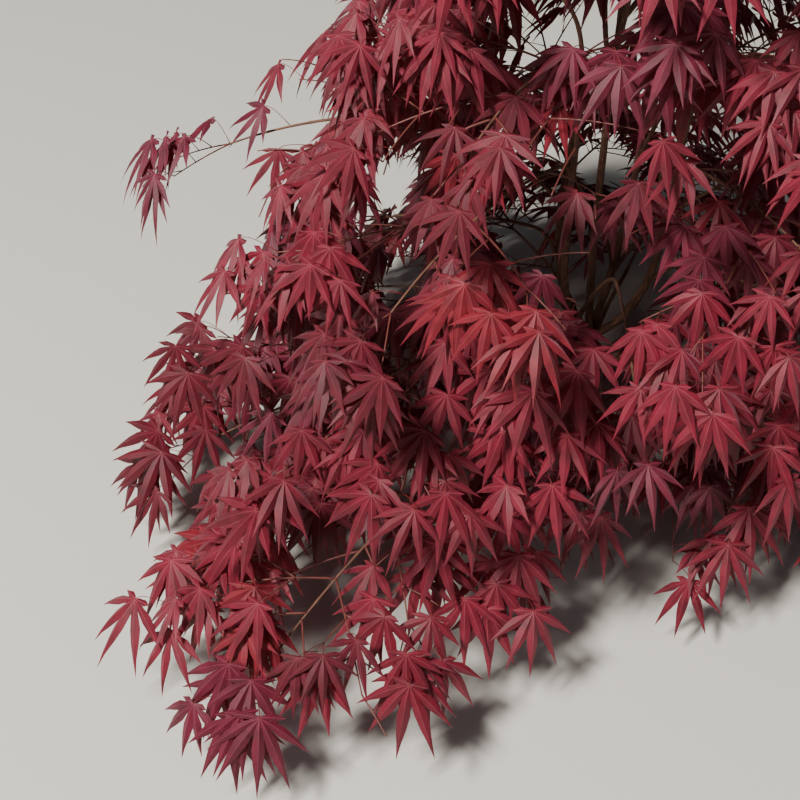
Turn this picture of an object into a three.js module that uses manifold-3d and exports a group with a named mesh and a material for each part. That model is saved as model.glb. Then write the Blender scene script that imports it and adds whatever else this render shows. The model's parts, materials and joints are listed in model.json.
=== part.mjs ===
// A young Japanese maple with dark red leaves, rooted in the ground. Millimetres, +Z up, and the origin
// is the middle of the flat cut under the trunk. Low boughs and a few main stems fork from a short trunk,
// and each ends in one spreading mass of foliage: twigs in opposite pairs from one stem, with drooping
// leaves of five lobes. The masses lie in tiers, and the low foliage leans out on the sunny side.

import * as THREE from 'three';
import { mergeVertices } from 'three/addons/utils/BufferGeometryUtils.js';
import Module from 'manifold-3d';

const wasm = await Module();
wasm.setup();

// Trunk: flat at the ground, with a low root flare, leaning a little on its way to the fork.
const TRUNK_HEIGHT = 132;
const TRUNK_LEAN = new THREE.Vector3(-9, 5, 0);
const TRUNK_FOOT_RADIUS = 12.5;
const TRUNK_FORK_RADIUS = 8.5;
const TRUNK_SIDES = 15;
const TRUNK_STEPS = 8;
const FLARE_SHARE = 0.75;
const FLARE_HEIGHT = 22;
const FLARE_ROOTS = 5;

// Crown: how far its high and its low foliage reach from the trunk at each twelfth of a turn, counted from
// +X towards +Y.
const HIGH_REACH = [470, 470, 450, 420, 370, 305, 325, 430, 480, 480, 470, 470];
const LOW_REACH = [500, 500, 470, 450, 380, 330, 450, 575, 685, 330, 360, 430];
const LIGHT_AZIMUTH = 250;
const CROWDING = 16;
const GROUND_CLEARANCE = 14;

// Tiers, from the ground up. A tier's masses are spread round the trunk from about the azimuth `first`,
// and each has `pairs` of side twigs. `share` is of the crown's reach, and `lean` is how far the tier
// follows the low foliage's reach. The foliage has the outer `spray` of that reach. A bough sets off
// `start` degrees steeper than its chord, and ends where its foliage begins, at `height`, in millimetres.
// The foliage's stem slopes by `rise` degrees at its foot and `fall` at its tip. `from` and `at` say which
// limb the bough leaves, and how far along it.
const TIERS = [
  {
    name: 'low', count: 9, first: 227, pairs: 3, from: 'trunk', at: 0.45,
    share: 1, lean: 1, spray: 0.72, start: 14, height: 156, rise: 8, fall: -18,
  },
  {
    name: 'second', count: 6, first: 218, pairs: 2, from: 'main', at: 0.15,
    share: 1, lean: 0.5, spray: 0.72, start: 14, height: 280, rise: 14, fall: -22,
  },
  {
    name: 'middle', count: 4, first: 226, pairs: 2, from: 'main', at: 0.4,
    share: 0.94, lean: 0.2, spray: 0.72, start: 14, height: 424, rise: 18, fall: -22,
  },
  {
    name: 'arm', count: 1, first: 169, pairs: 1, from: 'main', at: 0.5,
    share: 1.48, lean: 0, spray: 0.4, start: 14, height: 440, rise: 2, fall: -20,
  },
  {
    name: 'main', count: 4, first: 236, pairs: 2, from: 'trunk', at: 0.97,
    share: 0.9, lean: 0, spray: 0.6, start: -34, height: 560, rise: 30, fall: -20,
  },
  {
    name: 'upper', count: 4, first: 183, pairs: 2, from: 'leader', at: 0.58,
    share: 0.72, lean: 0, spray: 0.72, start: -12, height: 712, rise: 40, fall: -12,
  },
  {
    name: 'leader', count: 1, first: 250, pairs: 2, from: 'trunk', at: 0.97,
    share: 0.46, lean: 0, spray: 0.72, start: -10, height: 850, rise: 72, fall: 22,
  },
];

// Limbs: their radii at the foot and the tip, and the handles of their path.
const BOUGH_FOOT_RADIUS = 3.6;
const BRANCH_FOOT_RADIUS = 2.9;
const STEM_FOOT_RADIUS = 5;
const BRANCH_SHARE_OF_PARENT = 0.86;
const LIMB_TIP_RADIUS = 2.1;
const LIMB_SIDES = 5;
const LIMB_STEPS = 5;
const START_HANDLE = 0.36;
const END_HANDLE = 0.24;
const FEET_SPREAD = 0.16;

// Foliage: the stem of a mass, and its side twigs in pairs.
const SPRAY_LENGTH = 320;
const STEM_STEPS = 4;
const TWIG_STEPS = 2;
const TWIG_LENGTH = 150;
const TWIG_FOOT_RADIUS = 2;
const TWIG_TIP_RADIUS = 1.4;
const FIRST_TWIG = 0.12;
const TWIG_SPACING = 0.86;
const TWIG_ANGLE = 50;
const TWIG_ARCH = [8, -14];

// Leaves: larger than life, as they are fewer. `HALF_OUTLINE` gives half a leaf's rim as angles off its
// middle line and shares of its length: the middle lobe, then a notch, a lobe, a notch, the last lobe,
// and the shoulder beside the stalk.
const LEAF_LENGTH = 114;
const LEAF_THICKNESS = 2.6;
const LEAF_DROOP = 42;
const LEAF_REACH = 85;
const LEAF_HANG = 26;
const LOBE_BEND = 0.26;
const HALF_OUTLINE = [[0, 1], [20, 0.38], [40, 0.95], [60, 0.34], [80, 0.76], [150, 0.1]];
const MIDDLE_SHARE = 0.12;
const STALK_LENGTH = 42;
const STALK_ROOT = 0.5;
const STALK_ANGLE = 62;
const SHOOT_TIP = 0.97;
const SHOOT_MIDDLE = 0.5;
const PAIR_STAGGER = 0.07;
const LEAF_TRIES = 20;

// Clearances: between pieces that touch on the plant, and between a leaf and what it passes.
const JOINT_GAP = 0.35;
const LEAF_GAP = 0.6;
const TIER_WEIGHT = 1.9;
const SPACE_OVERLAP = 30;

// What the solids are kept sound with: the grids that their corners may lie on, and the thinnest face.
const GRID_STEPS = [0.01, 0.02, 0.04, 0.08];
const THINNEST_FACE = 0.002;

const BARK = new THREE.MeshStandardMaterial({ color: 0x6b4a3c, roughness: 0.8, metalness: 0 });
const FOLIAGE = new THREE.MeshStandardMaterial({ color: 0x7a2433, roughness: 0.55, metalness: 0 });

// Headings and numbers

const radians = THREE.MathUtils.degToRad;
const degrees = THREE.MathUtils.radToDeg;
const UP = new THREE.Vector3(0, 0, 1);

// The unit vector of an azimuth and a slope, in degrees.
function heading(azimuth, slope) {
  const level = Math.cos(radians(slope));
  return new THREE.Vector3(
    Math.cos(radians(azimuth)) * level,
    Math.sin(radians(azimuth)) * level,
    Math.sin(radians(slope)),
  );
}

// The difference of two azimuths, between -180 and 180 degrees.
function turnBetween(from, to) {
  return THREE.MathUtils.euclideanModulo(to - from + 180, 360) - 180;
}

// A seeded row of numbers from 0 to 1.
function seeded(seed) {
  let state = seed;
  return () => {
    state = (Math.imul(state, 1664525) + 1013904223) >>> 0;
    return state / 2 ** 32;
  };
}

// A number between -spread and spread.
function jitter(random, spread) {
  return (2 * random() - 1) * spread;
}

// The azimuth that a mass takes in place of an even one: the masses crowd towards the light.
function crowded(even) {
  return even - CROWDING * Math.sin(radians(even - LIGHT_AZIMUTH));
}

// How far a tier reaches at an azimuth, with both reaches eased between their twelve directions.
function reachOf(tier, azimuth) {
  const place = THREE.MathUtils.euclideanModulo(azimuth, 360) / 30;
  const before = Math.floor(place) % 12;
  const after = (before + 1) % 12;
  const ease = THREE.MathUtils.smoothstep(place - Math.floor(place), 0, 1);
  const [high, low] = [HIGH_REACH, LOW_REACH].map((reach) => (
    THREE.MathUtils.lerp(reach[before], reach[after], ease)));
  return tier.share * THREE.MathUtils.lerp(high, low, tier.lean);
}

// Solids

// A geometry of any kind as a closed solid.
function solidOf(geometry) {
  geometry.deleteAttribute('normal');
  geometry.deleteAttribute('uv');
  const merged = mergeVertices(geometry, 1e-4);
  return new wasm.Manifold(new wasm.Mesh({
    numProp: 3,
    vertProperties: new Float32Array(merged.attributes.position.array),
    triVerts: new Uint32Array(merged.index.array),
  }));
}

// The height of a triangle over its longest side.
function thinness(a, b, c) {
  const longest = Math.max(a.distanceTo(b), b.distanceTo(c), c.distanceTo(a));
  return 2 * new THREE.Triangle(a, b, c).getArea() / longest;
}

// A solid with its corners on a grid, so that no two lie closer than a step. Returns nothing where that
// would leave a sliver, or pinch the surface, which shows as an edge that isn't in two faces.
function snapped(solid, step) {
  const { vertProperties, triVerts } = solid.simplify(step).getMesh();
  const geometry = new THREE.BufferGeometry();
  const corners = vertProperties.map((value) => Math.round(value / step) * step);
  geometry.setAttribute('position', new THREE.BufferAttribute(corners, 3));
  geometry.setIndex(new THREE.BufferAttribute(triVerts, 1));
  const merged = mergeVertices(geometry, step / 10);
  const cornerAt = (k) => new THREE.Vector3().fromBufferAttribute(merged.attributes.position, k);
  const kept = [];
  const uses = new Map();
  for (let i = 0; i < merged.index.count; i += 3) {
    const face = [0, 1, 2].map((k) => merged.index.getX(i + k));
    if (new Set(face).size < 3) continue;
    if (thinness(...face.map(cornerAt)) < THINNEST_FACE) return undefined;
    kept.push(...face);
    face.forEach((start, k) => {
      const edge = [start, face[(k + 1) % 3]].sort((a, b) => a - b).join();
      uses.set(edge, (uses.get(edge) ?? 0) + 1);
    });
  }
  if ([...uses.values()].some((count) => count !== 2)) return undefined;
  merged.setIndex(kept);
  return solidOf(merged);
}

// The solid on the finest grid that it comes out sound on.
function onGrid(solid) {
  for (const step of GRID_STEPS) {
    const sound = snapped(solid, step);
    if (sound) return sound;
  }
  return undefined;
}

// Two solids joined into one body, or nothing if they don't join soundly.
function joined(whole, part) {
  const sum = onGrid(whole.add(part));
  return sum && sum.decompose().length === 1 ? sum : undefined;
}

// What is left of a solid when others are cut away: its largest body.
function remainder(solid, cutters) {
  const cut = cutters.reduce((left, cutter) => left.subtract(cutter), solid);
  return onGrid(cut.decompose().reduce((best, body) => (body.volume() > best.volume() ? body : best)));
}

function boxOf(solid) {
  const { min, max } = solid.boundingBox();
  return new THREE.Box3(new THREE.Vector3(...min), new THREE.Vector3(...max));
}

function meshOf(solid, name, material) {
  const { vertProperties, triVerts } = solid.getMesh();
  const geometry = new THREE.BufferGeometry();
  geometry.setAttribute('position', new THREE.BufferAttribute(vertProperties, 3));
  geometry.setIndex(new THREE.BufferAttribute(triVerts, 1));
  geometry.computeVertexNormals();
  const mesh = new THREE.Mesh(geometry, material);
  mesh.name = name;
  return mesh;
}

// Tapering tubes

// A closed tube along a curve. `radiusAt` gives its radius for a share of the curve and an angle round it,
// and `extra` fattens it all round and past both ends.
function tube(curve, radiusAt, sides, steps, extra = 0) {
  const geometry = new THREE.CylinderGeometry(1, 1, 1, sides, steps);
  const frames = curve.computeFrenetFrames(steps, false);
  const position = geometry.attributes.position;
  for (let i = 0; i < position.count; i += 1) {
    const share = position.getY(i) + 0.5;
    const ring = Math.round(share * steps);
    const across = position.getX(i);
    const along = position.getZ(i);
    const radius = radiusAt(share, Math.atan2(along, across)) + extra;
    const pastEnd = Math.floor(share) * extra - Math.floor(1 - share) * extra;
    const point = curve.getPointAt(share)
      .addScaledVector(frames.binormals[ring], across * radius)
      .addScaledVector(frames.normals[ring], along * radius)
      .addScaledVector(frames.tangents[ring], pastEnd);
    position.setXYZ(i, point.x, point.y, point.z);
  }
  return solidOf(geometry);
}

function taper(foot, tip) {
  return (share) => THREE.MathUtils.lerp(foot, tip, share);
}

// The point at a share of a tube's axis, which cuts the corners of its curve.
function axisPoint(curve, steps, share) {
  const before = Math.min(Math.floor(share * steps), steps - 1);
  const from = curve.getPointAt(before / steps);
  return from.lerp(curve.getPointAt((before + 1) / steps), share * steps - before);
}

// Trunk

// The trunk's line: upright at the ground, then leaning to the fork.
const trunkLine = new THREE.QuadraticBezierCurve3(
  new THREE.Vector3(0, 0, 0),
  new THREE.Vector3(0, 0, TRUNK_HEIGHT * 0.45),
  new THREE.Vector3(0, 0, TRUNK_HEIGHT).add(TRUNK_LEAN),
);

// The taper, widened near the ground by a flare that swells over each main root.
function trunkRadius(share, angle) {
  const plain = taper(TRUNK_FOOT_RADIUS, TRUNK_FORK_RADIUS)(share);
  const flare = Math.exp(-share * TRUNK_HEIGHT / FLARE_HEIGHT) * FLARE_SHARE;
  return plain * (1 + flare * (0.65 + 0.35 * Math.cos(FLARE_ROOTS * angle)));
}

// Limbs

// The main stem whose azimuth is nearest.
function mainStemNear(azimuth, limbs) {
  const stems = limbs.filter((limb) => limb.tier.name === 'main');
  const turns = stems.map((stem) => Math.abs(turnBetween(stem.azimuth, azimuth)));
  return stems[turns.indexOf(Math.min(...turns))];
}

// A bough or stem, with what its mass of foliage needs. `limbs` holds those worked out before it.
function makeLimb(tier, index, limbs) {
  const random = seeded(17 + 31 * limbs.length);
  const azimuth = crowded(tier.first + 360 * index / tier.count);
  const reach = reachOf(tier, azimuth);
  const inside = reach - LEAF_REACH;
  const level = Math.cos(radians((tier.rise + tier.fall) / 2));
  const sprayLength = Math.min(SPRAY_LENGTH, tier.spray * inside / level);
  const tip = heading(azimuth, 0).multiplyScalar(inside - sprayLength * level);
  tip.z = tier.height + jitter(random, 14);
  let foot;
  let footRadius;
  if (tier.from === 'trunk') {
    foot = trunkLine.getPointAt(THREE.MathUtils.lerp(tier.at, SHOOT_TIP, index / tier.count));
    footRadius = tier.name === 'low' ? BOUGH_FOOT_RADIUS : STEM_FOOT_RADIUS;
  } else {
    const leader = limbs.find((limb) => limb.tier.name === 'leader');
    const parent = tier.from === 'main' ? mainStemNear(azimuth, limbs) : leader;
    const at = tier.at + FEET_SPREAD * (index / tier.count - 0.5);
    foot = parent.curve.getPointAt(at);
    footRadius = Math.min(BRANCH_FOOT_RADIUS, BRANCH_SHARE_OF_PARENT * parent.radius(at));
  }
  const chord = tip.clone().sub(foot);
  const climb = degrees(Math.asin(chord.z / chord.length()));
  const start = heading(azimuth + jitter(random, 14), climb + tier.start);
  const end = heading(azimuth, tier.rise);
  const curve = new THREE.CubicBezierCurve3(
    foot,
    foot.clone().addScaledVector(start, chord.length() * START_HANDLE),
    tip.clone().addScaledVector(end, -chord.length() * END_HANDLE),
    tip,
  );
  const stemFoot = tip.clone().addScaledVector(end, JOINT_GAP);
  const stem = archingLine(stemFoot, azimuth, [tier.rise, tier.fall], sprayLength);
  return {
    name: `${tier.name}_${index + 1}`,
    tier,
    azimuth,
    random,
    curve,
    radius: taper(footRadius, LIMB_TIP_RADIUS),
    stem,
    hangLine: stem.getSpacedPoints(8).map((point) => point.setZ(point.z - LEAF_HANG)),
    twigLength: Math.min(TWIG_LENGTH, 0.6 * Math.PI * reach / tier.count),
    shoots: [],
  };
}

// The line of a stem or twig that sets off at one slope and ends at another.
function archingLine(from, azimuth, [first, last], length) {
  const pieces = 6;
  const points = [from.clone()];
  for (let i = 0; i < pieces; i += 1) {
    const slope = THREE.MathUtils.lerp(first, last, (i + 0.5) / pieces);
    points.push(points[i].clone().addScaledVector(heading(azimuth, slope), length / pieces));
  }
  return new THREE.CatmullRomCurve3(points);
}

// Every limb. What leaves the trunk comes before what leaves a stem.
function makeLimbs() {
  const limbs = [];
  const fromTrunkFirst = [...TIERS].sort((a, b) => (b.from === 'trunk') - (a.from === 'trunk'));
  for (const tier of fromTrunkFirst) {
    for (let index = 0; index < tier.count; index += 1) limbs.push(makeLimb(tier, index, limbs));
  }
  return limbs;
}

// Foliage

const limbs = makeLimbs();

// All that stands already: each solid with its box, and the limb and shoot that it belongs to.
const standing = [];

function stand(solid, owner) {
  standing.push({ solid, box: boxOf(solid), ...owner });
}

// Whether a solid stays clear of all that stands, apart from what it grows on.
function isClear(solid, growsOn) {
  const box = boxOf(solid).expandByScalar(LEAF_GAP);
  const near = standing.filter((thing) => !growsOn(thing) && box.intersectsBox(thing.box));
  return near.every((thing) => solid.minGap(thing.solid, 2 * LEAF_GAP) > LEAF_GAP);
}

// How far a point is from the line that a mass hangs about, a little under its stem. Heights count more,
// because the masses lie in flat tiers.
function farFrom(limb, point) {
  const far = limb.hangLine.map((mark) => Math.hypot(
    point.x - mark.x,
    point.y - mark.y,
    TIER_WEIGHT * (point.z - mark.z),
  ));
  return Math.min(...far);
}

// A mass keeps to the points that are above the ground and nearer to its own line than to any other's.
// The spaces of two masses overlap a little, and there a leaf may grow where the other has none.
function keepsToSpace(limb, points) {
  return points.every((point) => {
    if (point.z < GROUND_CLEARANCE) return false;
    const own = farFrom(limb, point) - SPACE_OVERLAP;
    return limbs.every((other) => other === limb || farFrom(other, point) > own);
  });
}

// Leaves turn from straight outwards towards the light, least on the far side of the crown.
function facingAt(point) {
  const turn = turnBetween(LIGHT_AZIMUTH, degrees(Math.atan2(point.y, point.x)));
  return LIGHT_AZIMUTH + turn * THREE.MathUtils.lerp(0.35, 1, (turn / 180) ** 2);
}

// One leaf: a thin lens in the outline of five drooping lobes, whose stalk runs back into the twig.
function leafGeometry(root, stalk, facing, droop, length) {
  const along = heading(facing, -droop);
  const across = UP.clone().cross(along).normalize();
  const normal = along.clone().cross(across);
  const base = root.clone().add(stalk);
  const rimPoint = (angle, share) => base.clone()
    .addScaledVector(along, Math.cos(radians(angle)) * share * length)
    .addScaledVector(across, Math.sin(radians(angle)) * share * length)
    .addScaledVector(normal, -LOBE_BEND * share * share * length);
  const half = HALF_OUTLINE.map(([angle, share]) => rimPoint(angle, share));
  const otherHalf = HALF_OUTLINE.slice(1).map(([angle, share]) => rimPoint(-angle, share));
  const stalkEnd = root.clone().addScaledVector(stalk, -STALK_ROOT / STALK_LENGTH);
  const rim = [...half, stalkEnd, ...otherHalf.reverse()];
  const middle = base.clone().addScaledVector(along, MIDDLE_SHARE * length);
  const top = middle.clone().addScaledVector(normal, LEAF_THICKNESS / 2);
  const under = middle.clone().addScaledVector(normal, -LEAF_THICKNESS / 2);
  const points = [...rim, top, under];
  const faces = rim.flatMap((_, i) => {
    const next = (i + 1) % rim.length;
    return [rim.length, i, next, rim.length + 1, next, i];
  });
  const geometry = new THREE.BufferGeometry().setFromPoints(points);
  geometry.setIndex(faces);
  return { geometry, points };
}

// Starts one mass: its stem, then side twigs in pairs. A twig that would leave the space is skipped.
function growTwigs(limb) {
  const { random, tier } = limb;
  limb.mass = tube(limb.stem, taper(LIMB_TIP_RADIUS, TWIG_TIP_RADIUS), 3, STEM_STEPS);
  const places = [SHOOT_TIP, SHOOT_MIDDLE];
  limb.shoots.push({ line: limb.stem, steps: STEM_STEPS, azimuth: limb.azimuth, places });
  stand(limb.mass, { limb, shoot: limb.shoots[0] });
  for (let twig = 0; twig < 2 * tier.pairs; twig += 1) {
    const side = twig % 2 === 0 ? -1 : 1;
    const share = FIRST_TWIG + TWIG_SPACING * Math.floor(twig / 2) / tier.pairs;
    const slope = THREE.MathUtils.lerp(tier.rise, tier.fall, share) + jitter(random, 16);
    const azimuth = limb.azimuth + side * (TWIG_ANGLE + jitter(random, 10));
    const length = limb.twigLength * Math.sin(Math.PI * (0.25 + 0.6 * share)) * (1 + jitter(random, 0.15));
    const from = axisPoint(limb.stem, STEM_STEPS, share);
    const line = archingLine(from, azimuth, TWIG_ARCH.map((bend) => slope + bend), length);
    const solid = tube(line, taper(TWIG_FOOT_RADIUS, TWIG_TIP_RADIUS), 3, TWIG_STEPS);
    const fits = keepsToSpace(limb, [line.getPointAt(SHOOT_MIDDLE), line.getPointAt(1)])
      && isClear(solid, (thing) => thing.limb === limb);
    const sum = fits ? joined(limb.mass, solid) : undefined;
    if (!sum) continue;
    const shoot = { line, steps: TWIG_STEPS, azimuth, places: [SHOOT_TIP] };
    limb.mass = sum;
    limb.shoots.push(shoot);
    stand(solid, { limb, shoot });
  }
}

// Adds a leaf to a mass. Each try is turned another way, until one keeps to the space and touches nothing.
function growLeaf(limb, shoot, place, side) {
  const { random } = limb;
  const root = axisPoint(shoot.line, shoot.steps, place - (side < 0 ? PAIR_STAGGER : 0));
  for (let attempt = 0; attempt < LEAF_TRIES; attempt += 1) {
    const facing = facingAt(root) + jitter(random, 30);
    const stalk = heading(shoot.azimuth + side * (STALK_ANGLE + jitter(random, 30)), 0)
      .multiplyScalar(0.6 + jitter(random, 0.2))
      .addScaledVector(heading(facing, 0), 0.5)
      .addScaledVector(UP, 0.5 + jitter(random, 0.7))
      .setLength(STALK_LENGTH);
    const droop = LEAF_DROOP + jitter(random, 18);
    const length = LEAF_LENGTH * (1 + jitter(random, 0.06)) * 0.98 ** attempt;
    const { geometry, points } = leafGeometry(root, stalk, facing, droop, length);
    if (!keepsToSpace(limb, points)) continue;
    const solid = solidOf(geometry);
    if (!isClear(solid, (thing) => thing.shoot === shoot && !thing.isLeaf)) continue;
    const sum = joined(limb.mass, solid);
    if (!sum) continue;
    limb.mass = sum;
    stand(solid, { limb, shoot, isLeaf: true });
    return;
  }
}

function growLeaves(limb) {
  for (const shoot of limb.shoots) {
    for (const place of shoot.places) {
      growLeaf(limb, shoot, place, -1);
      growLeaf(limb, shoot, place, 1);
    }
  }
}

// Assembly

const maple = new THREE.Group();
const trunk = tube(trunkLine, trunkRadius, TRUNK_SIDES, TRUNK_STEPS).trimByPlane([0, 0, 1], 0);
maple.add(meshOf(trunk, 'trunk', BARK));
stand(trunk, {});

// Each limb's foot is hollowed to sit against what it leaves, with a hair's gap.
const cutters = [tube(trunkLine, trunkRadius, TRUNK_SIDES, TRUNK_STEPS, JOINT_GAP)];
for (const limb of limbs) {
  const bough = remainder(tube(limb.curve, limb.radius, LIMB_SIDES, LIMB_STEPS), cutters);
  cutters.push(tube(limb.curve, limb.radius, LIMB_SIDES, LIMB_STEPS, JOINT_GAP));
  maple.add(meshOf(bough, `${limb.name}_bough`, BARK));
  stand(bough, {});
}

// All the twigs come first, so that every leaf can keep clear of them.
limbs.forEach(growTwigs);
limbs.forEach(growLeaves);
for (const limb of limbs) maple.add(meshOf(limb.mass, `${limb.name}_foliage`, FOLIAGE));

export default maple;
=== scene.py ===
# A young Japanese maple with dark red leaves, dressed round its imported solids. Metres, +Z up, and the
# origin is the middle of the flat cut under the trunk.

import json
import math
from types import SimpleNamespace

import bpy
import numpy as np
from mathutils.bvhtree import BVHTree
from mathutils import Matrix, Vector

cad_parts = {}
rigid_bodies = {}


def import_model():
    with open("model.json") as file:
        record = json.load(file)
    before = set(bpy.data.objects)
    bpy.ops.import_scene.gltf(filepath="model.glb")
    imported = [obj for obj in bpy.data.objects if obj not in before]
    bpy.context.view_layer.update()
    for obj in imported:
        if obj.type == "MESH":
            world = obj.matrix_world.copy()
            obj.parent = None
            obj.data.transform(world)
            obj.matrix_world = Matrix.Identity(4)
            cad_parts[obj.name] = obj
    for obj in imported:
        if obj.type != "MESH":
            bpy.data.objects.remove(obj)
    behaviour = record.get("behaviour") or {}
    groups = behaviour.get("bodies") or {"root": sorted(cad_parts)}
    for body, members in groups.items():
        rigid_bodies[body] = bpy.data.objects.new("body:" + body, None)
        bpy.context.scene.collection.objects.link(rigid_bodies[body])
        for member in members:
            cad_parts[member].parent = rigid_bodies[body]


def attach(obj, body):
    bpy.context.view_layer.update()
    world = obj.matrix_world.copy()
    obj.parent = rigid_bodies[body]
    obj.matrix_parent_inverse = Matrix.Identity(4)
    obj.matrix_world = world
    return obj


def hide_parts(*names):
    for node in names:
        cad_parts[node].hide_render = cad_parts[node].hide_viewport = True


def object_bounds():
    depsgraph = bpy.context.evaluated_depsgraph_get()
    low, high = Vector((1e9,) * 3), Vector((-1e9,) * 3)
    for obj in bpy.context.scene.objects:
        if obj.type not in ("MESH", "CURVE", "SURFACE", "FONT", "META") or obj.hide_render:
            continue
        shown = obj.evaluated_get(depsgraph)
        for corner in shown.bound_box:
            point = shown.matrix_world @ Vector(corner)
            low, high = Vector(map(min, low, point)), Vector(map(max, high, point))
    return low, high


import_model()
cad_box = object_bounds()


# Trunk
# One short stem of smooth young bark with shallow grooves. It leans a little on its way to the fork and
# swells over five roots, and it stands on its flat cut.

TRUNK_TOP = np.array([-0.009, 0.005, 0.132])
TRUNK_BEND_HEIGHT = 0.45
TRUNK_FOOT_RADIUS = 0.0125
TRUNK_FORK_RADIUS = 0.0085
TRUNK_CLOSING = 0.9
TRUNK_CLOSING_HEIGHT = 0.03
TRUNK_SAMPLES = 400
TRUNK_ROWS = 150
TRUNK_SIDES = 96
TRUNK_BARK_SEED = 3
FLARE_SHARE = 0.75
FLARE_HEIGHT = 0.022
FLARE_ROOTS = 5
ROOT_SHARE = 0.35

# The bark's relief.
GROOVE_WIDTH = 0.0022
GROOVE_LENGTH = 0.014
GROOVE_STEEPNESS = 2.2
GRAIN_LENGTH = 0.005
GRAIN_SHARE = 0.3
RELIEF_DEPTH = 0.0007
RELIEF_MIDDLE = 0.6

# The bark's finish.
STREAK_RANGE = (0.35, 0.68)
PORE_SCALE = 0.7
PORE_RANGE = (0.08, 0.2)
PORE_HEIGHT = 0.4
PORE_SHARE = 0.6
PATCH_SCALE = 28.0
PATCH_SHADE = 0.45
BARK_SHINE = 0.35
BARK_BUMP = 0.7


def unit(vectors):
    """Each vector over its own length."""
    return vectors / np.linalg.norm(vectors, axis=-1, keepdims=True)


def part_way(first, last, share):
    """The value at a share of the way from the first to the last."""
    return first + (last - first) * share


def eased(share):
    """A share that starts and ends slowly: three times its square less twice its cube."""
    return share**2 * (3 - 2 * share)


def bezier(marks, shares):
    """A curve's points: its marks added up by Bernstein's weights, the chances of k hits in n tries."""
    last = len(marks) - 1
    weights = [math.comb(last, k) * shares**k * (1 - shares) ** (last - k) for k in range(last + 1)]
    return sum(weight[:, None] * mark for weight, mark in zip(weights, marks))


def evened(line, rows):
    """The line again, with its points equal steps apart along its length."""
    steps = np.linalg.norm(np.diff(line, axis=0), axis=1)
    run = np.concatenate([[0], np.cumsum(steps)])
    wanted = np.linspace(0, run[-1], rows)
    return np.stack([np.interp(wanted, run, line[:, axis]) for axis in range(3)], axis=1)


def swept(lines, radii, sides, sideways):
    """Rings round the points of lines: at each angle the point plus its radius times the cosine along
    one unit vector square to the line, and the sine along the other. No line runs along `sideways`."""
    ahead = unit(np.gradient(lines, axis=-2))
    across = unit(np.cross(ahead, sideways))
    upward = np.cross(across, ahead)
    angles = np.arange(sides)[:, None] / sides * math.tau
    rings = np.cos(angles) * across[..., None, :] + np.sin(angles) * upward[..., None, :]
    return lines[..., None, :] + radii[..., None] * rings


def tube_faces(count, rows, sides):
    """The faces of tubes whose rings lie one after another: walls of four corners, and two caps each."""
    first = np.arange(count)[:, None, None] * rows * sides
    row = np.arange(rows - 1)[None, :, None] * sides
    side = np.arange(sides)[None, None, :]
    beside = (side + 1) % sides
    corners = [first + row + side, first + row + sides + side]
    corners += [first + row + sides + beside, first + row + beside]
    walls = np.stack(np.broadcast_arrays(*corners), axis=-1).reshape(-1, 4)
    foot_caps = first[:, 0] + np.arange(sides)
    tip_caps = first[:, 0] + (rows - 1) * sides + np.arange(sides)[::-1]
    return walls, np.concatenate([foot_caps, tip_caps])


def tube_places(lines, radii, sides):
    """Where each corner of the tubes lies on their unrolled bark, in metres round and along."""
    steps = np.linalg.norm(np.diff(lines, axis=-2), axis=-1)
    along = np.concatenate([np.zeros((len(lines), 1)), np.cumsum(steps, axis=-1)], axis=-1)
    girth = math.tau * radii.reshape(len(lines), -1).mean(axis=-1)[:, None, None]
    around = np.arange(sides)[None, None, :] / sides * girth
    beside = around + girth / sides
    low, high = along[:, :-1, None], along[:, 1:, None]
    shape = (len(lines), lines.shape[1] - 1, sides)
    walls = [
        np.stack([np.broadcast_to(part, shape) for part in corner], axis=-1)
        for corner in ((around, low), (around, high), (beside, high), (beside, low))
    ]
    caps = np.zeros((2 * len(lines) * sides, 2))
    return np.concatenate([np.stack(walls, axis=-2).reshape(-1, 2), caps])


def lay_mesh(name, points, faces, places, layer, materials):
    """An object from arrays: its points, groups of faces with equally many corners, each corner's place
    on the layer that its pattern follows, and its materials."""
    mesh = bpy.data.meshes.new(name)
    corners = np.concatenate([group.ravel() for group in faces])
    sizes = np.concatenate([np.full(len(group), group.shape[1]) for group in faces])
    mesh.vertices.add(len(points.reshape(-1, 3)))
    mesh.vertices.foreach_set("co", points.ravel())
    mesh.loops.add(len(corners))
    mesh.loops.foreach_set("vertex_index", corners)
    mesh.polygons.add(len(sizes))
    mesh.polygons.foreach_set("loop_start", np.concatenate([[0], np.cumsum(sizes)[:-1]]))
    mesh.update(calc_edges=True)
    mesh.uv_layers.new(name=layer).data.foreach_set("uv", places.ravel())
    mesh.polygons.foreach_set("use_smooth", np.ones(len(sizes), bool))
    for material in materials:
        mesh.materials.append(material)
    made = bpy.data.objects.new(name, mesh)
    bpy.context.scene.collection.objects.link(made)
    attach(made, "root")
    return made


def lay_tubes(name, points, lines, radii, material):
    """Tubes as one piece of bark, from their rings' points, their lines and their radii."""
    count, rows, sides = points.shape[:-1]
    faces, places = tube_faces(count, rows, sides), tube_places(lines, radii, sides)
    return lay_mesh(name, points, faces, places, "bark", [material])


def woven_noise(around, along, columns, seed):
    """Smooth noise on bark: random heights at the corners of a lattice that closes round the stem, with
    `columns` cells round it and one cell for each unit of `along`, eased between the corners."""
    rows = int(np.ceil(along.max())) + 2
    heights = np.random.default_rng(seed).random((rows, columns))
    across = around * columns
    left, below = np.floor(across).astype(int), np.floor(along).astype(int)
    right_share, up_share = eased(across - left), eased(along - below)
    left, right = left % columns, (left + 1) % columns
    lower = heights[below, left] * (1 - right_share) + heights[below, right] * right_share
    upper = heights[below + 1, left] * (1 - right_share) + heights[below + 1, right] * right_share
    return lower * (1 - up_share) + upper * up_share


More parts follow.
